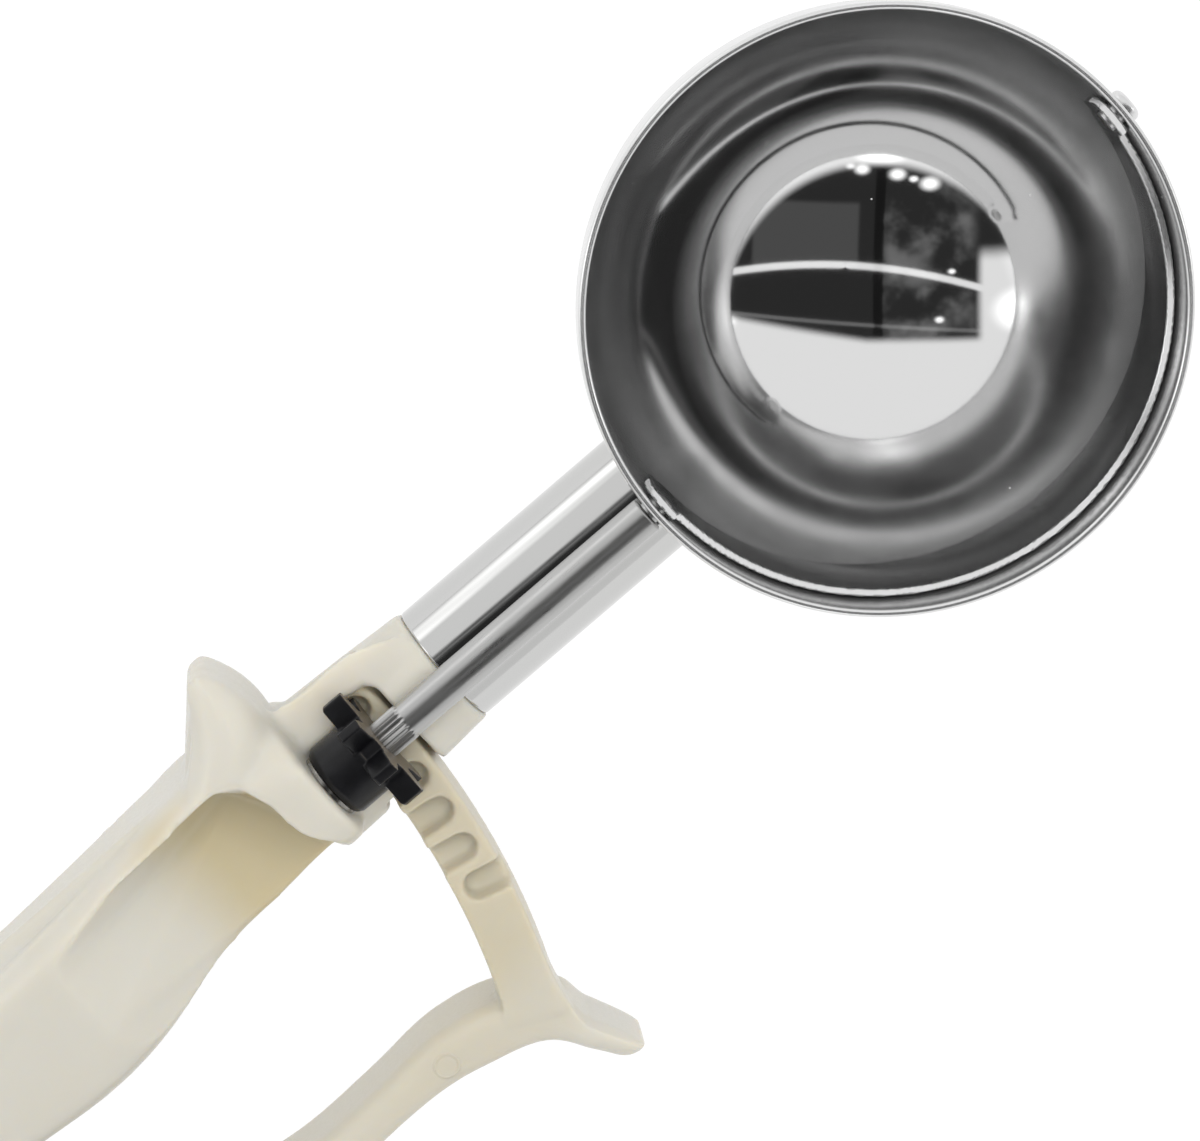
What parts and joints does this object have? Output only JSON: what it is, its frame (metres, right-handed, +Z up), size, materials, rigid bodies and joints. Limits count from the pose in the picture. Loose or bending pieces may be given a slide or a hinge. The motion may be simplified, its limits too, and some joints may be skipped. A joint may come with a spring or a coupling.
{
  "type": "lever ice cream scoop",
  "caption": "Ice cream scoop with a squeeze lever: a half-round metal bowl on a tube, and inside it a thin curved blade that the lever turns through a rack and gear.",
  "frame": {"origin": "centre of the box around the object, at its base: the level surface on which bowl, handle and lever rest", "axes": "+X along the object towards the bowl, +Z up, -Y the side of the squeeze lever; the tool lies rolled 11.6 degrees towards its lever and 4.3 degrees down at the handle's end, as it rests by itself"},
  "size_m": [0.2108, 0.0808, 0.0438],
  "materials": {
    "ivory_plastic": "satin ivory moulded plastic with fine mould polish",
    "bowl_steel": "mirror-polished stainless steel",
    "neck_steel": "polished stainless tube",
    "rod_steel": "drawn stainless rod",
    "blade_steel": "polished stainless strip",
    "stud_steel": "turned stainless rivet",
    "gear_black": "steam-blackened sintered steel",
    "washer_steel": "dark spring-steel washer",
    "bush_steel": "turned steel bush",
    "pin_steel": "turned stainless pin",
    "retainer_steel": "stamped push-on ring",
    "lock_pin_steel": "ground drive pin",
    "spring_steel": "spring wire",
    "braze_silver": "silver braze, wiped and polished"
  },
  "bodies": {
    "handle": {"bowl": "bowl_steel", "neck_tube": "neck_steel", "neck_braze": "braze_silver", "neck_lock_pin": "lock_pin_steel", "handle_body": "ivory_plastic", "shaft_bush": "bush_steel", "pivot_pin": "pin_steel", "pin_retainer": "retainer_steel", "return_spring": "spring_steel"},
    "lever": {"lever": "ivory_plastic"},
    "shaft": {"drive_shaft": "rod_steel", "pinion_gear": "gear_black", "thrust_washer": "washer_steel", "sweep_blade": "blade_steel", "blade_stud": "stud_steel"}
  },
  "joints": [
    {"name": "lever_squeeze", "type": "hinge", "parent": "handle", "child": "lever", "pos_m": [-0.09033, 0.00862, 0.01097], "axis": [-0.0743, -0.2013, 0.9767], "range_deg": [0, 9.77], "stiffness_Nm_per_rad": 1.5, "springref_deg": -4.58, "deforming": ["return_spring"]},
    {"name": "shaft_turn", "type": "hinge", "parent": "handle", "child": "shaft", "pos_m": [0.01555, 0.00641, 0.02983], "axis": [0.9971, 0, 0.0759], "range_deg": [0, 154.3]}
  ],
  "couplings": [
    {"joint": "shaft_turn", "follows": "lever_squeeze", "ratio": 15.793}
  ]
}
